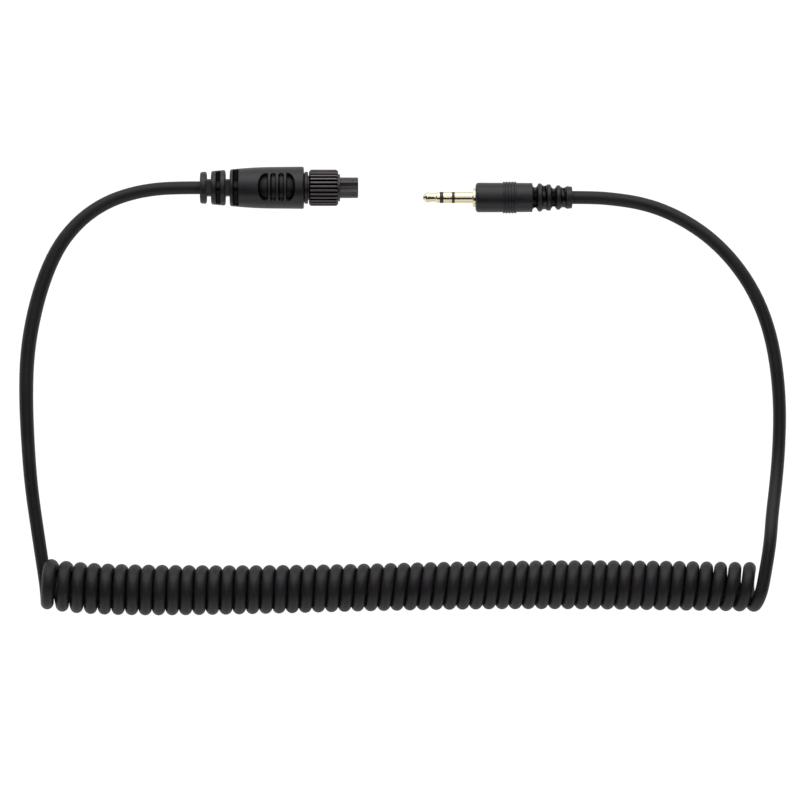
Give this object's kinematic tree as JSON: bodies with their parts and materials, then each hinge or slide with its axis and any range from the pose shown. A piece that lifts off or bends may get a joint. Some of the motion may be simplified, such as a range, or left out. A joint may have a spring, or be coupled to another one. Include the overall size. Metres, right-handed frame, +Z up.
{
  "type": "cable shutter release",
  "caption": "Coiled electric shutter release cord with a moulded screw-ring camera plug at one end and a gold-plated miniature stereo jack at the other.",
  "frame": {"origin": "on the table, under the middle of the box round the two plugs", "axes": "+X runs along both plugs from the camera plug's cord exit towards the jack's cord exit, +Z is up from the table, and the coil lies on the -Y side"},
  "size_m": [0.1683, 0.0983, 0.0104],
  "materials": {
    "moulded_vinyl": "satin, faintly grained",
    "cord_jacket": "smooth satin",
    "inner_plastic": "as moulded",
    "insulating_plastic": "glossy",
    "wire_insulation": "smooth",
    "ring_metal": "satin black plating",
    "shell_metal": "semi-gloss black plating",
    "gold_plating": "polished gold plating",
    "spring_steel": "bright",
    "tinned_brass": "dull tin plating"
  },
  "bodies": {
    "cord_and_plugs": {"camera_plug_overmould": "moulded_vinyl", "camera_plug_inner_mould": "inner_plastic", "camera_plug_shell": "shell_metal", "camera_plug_insulator": "insulating_plastic", "contact_pins": "gold_plating", "camera_plug_crimp": "tinned_brass", "camera_plug_wires": "wire_insulation", "camera_plug_cord_end": "cord_jacket", "jack_overmould": "moulded_vinyl", "jack_inner_mould": "inner_plastic", "jack_tip": "gold_plating", "jack_tip_insulator": "insulating_plastic", "jack_ring_contact": "gold_plating", "jack_ring_insulator": "insulating_plastic", "jack_sleeve": "gold_plating", "jack_rear_insulator": "insulating_plastic", "jack_tip_lug": "tinned_brass", "jack_ring_lug": "tinned_brass", "jack_cable_clamp": "tinned_brass", "jack_wires": "wire_insulation", "jack_cord_end": "cord_jacket", "lead_camera_end": "cord_jacket", "coil": "cord_jacket", "lead_jack_end": "cord_jacket"},
    "friction_clip": {"ring_friction_clip": "spring_steel"},
    "locking_ring": {"locking_ring": "ring_metal"}
  },
  "joints": [
    {"name": "ring_slide", "type": "slide", "parent": "cord_and_plugs", "child": "friction_clip", "axis": [1, 0, 0], "range_m": [0, 0.0036]},
    {"name": "ring_turn", "type": "hinge", "parent": "friction_clip", "child": "locking_ring", "pos_m": [-0.01378, 0.00047, 0.00465], "axis": [1, 0, 0], "continuous": true}
  ]
}
